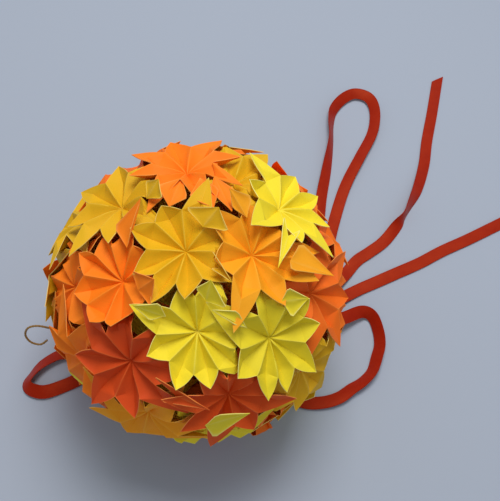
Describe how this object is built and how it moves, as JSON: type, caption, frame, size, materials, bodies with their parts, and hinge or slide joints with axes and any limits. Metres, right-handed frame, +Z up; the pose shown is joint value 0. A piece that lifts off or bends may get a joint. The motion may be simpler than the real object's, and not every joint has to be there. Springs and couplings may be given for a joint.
{
  "type": "kusudama paper ball",
  "caption": "Decorative ball of folded paper flowers in warm yellows and oranges, with a satin ribbon bow and a small hanging loop.",
  "frame": {"origin": "under the middle of the ball, on the surface it rests on", "axes": "+Z up; the picture looks along +Y from above, with +X to its right"},
  "size_m": [0.2734, 0.2228, 0.1158],
  "materials": {
    "paper_orange": "uncoated coloured paper",
    "paper_amber": "uncoated coloured paper",
    "paper_golden": "uncoated coloured paper",
    "paper_lemon": "uncoated coloured paper",
    "ribbon_satin": "satin",
    "thread": "twisted thread"
  },
  "bodies": {
    "root": {"bow_knot": "ribbon_satin", "bow_loop_lower": "ribbon_satin", "bow_loop_upper": "ribbon_satin", "flower_01": "paper_golden", "flower_02": "paper_amber", "flower_03": "paper_lemon", "flower_04": "paper_orange", "flower_05": "paper_orange", "flower_06": "paper_orange", "flower_07": "paper_lemon", "flower_08": "paper_lemon", "flower_09": "paper_orange", "flower_10": "paper_orange", "flower_11": "paper_golden", "flower_12": "paper_golden", "flower_13": "paper_orange", "flower_14": "paper_golden", "flower_15": "paper_golden", "flower_16": "paper_amber", "flower_17": "paper_orange", "flower_18": "paper_golden", "flower_19": "paper_orange", "flower_20": "paper_orange", "flower_21": "paper_lemon", "flower_22": "paper_golden", "flower_23": "paper_lemon", "flower_24": "paper_orange", "flower_25": "paper_golden", "flower_26": "paper_orange", "flower_27": "paper_orange", "flower_28": "paper_golden", "flower_29": "paper_orange", "flower_30": "paper_amber", "flower_31": "paper_golden", "flower_32": "paper_amber", "flower_33": "paper_lemon", "flower_34": "paper_orange", "flower_35": "paper_orange", "flower_36": "paper_golden", "flower_37": "paper_amber", "flower_38": "paper_lemon", "flower_39": "paper_orange", "flower_40": "paper_orange", "flower_41": "paper_golden", "flower_42": "paper_amber", "flower_43": "paper_lemon", "flower_44": "paper_orange", "flower_45": "paper_orange", "flower_46": "paper_golden", "flower_47": "paper_amber", "flower_48": "paper_lemon", "flower_49": "paper_orange", "flower_50": "paper_orange", "flower_51": "paper_golden", "flower_52": "paper_amber", "hanging_loop": "ribbon_satin", "ribbon_tail_long": "ribbon_satin", "ribbon_tail_side": "ribbon_satin", "thread_end": "thread"}
  },
  "joints": []
}
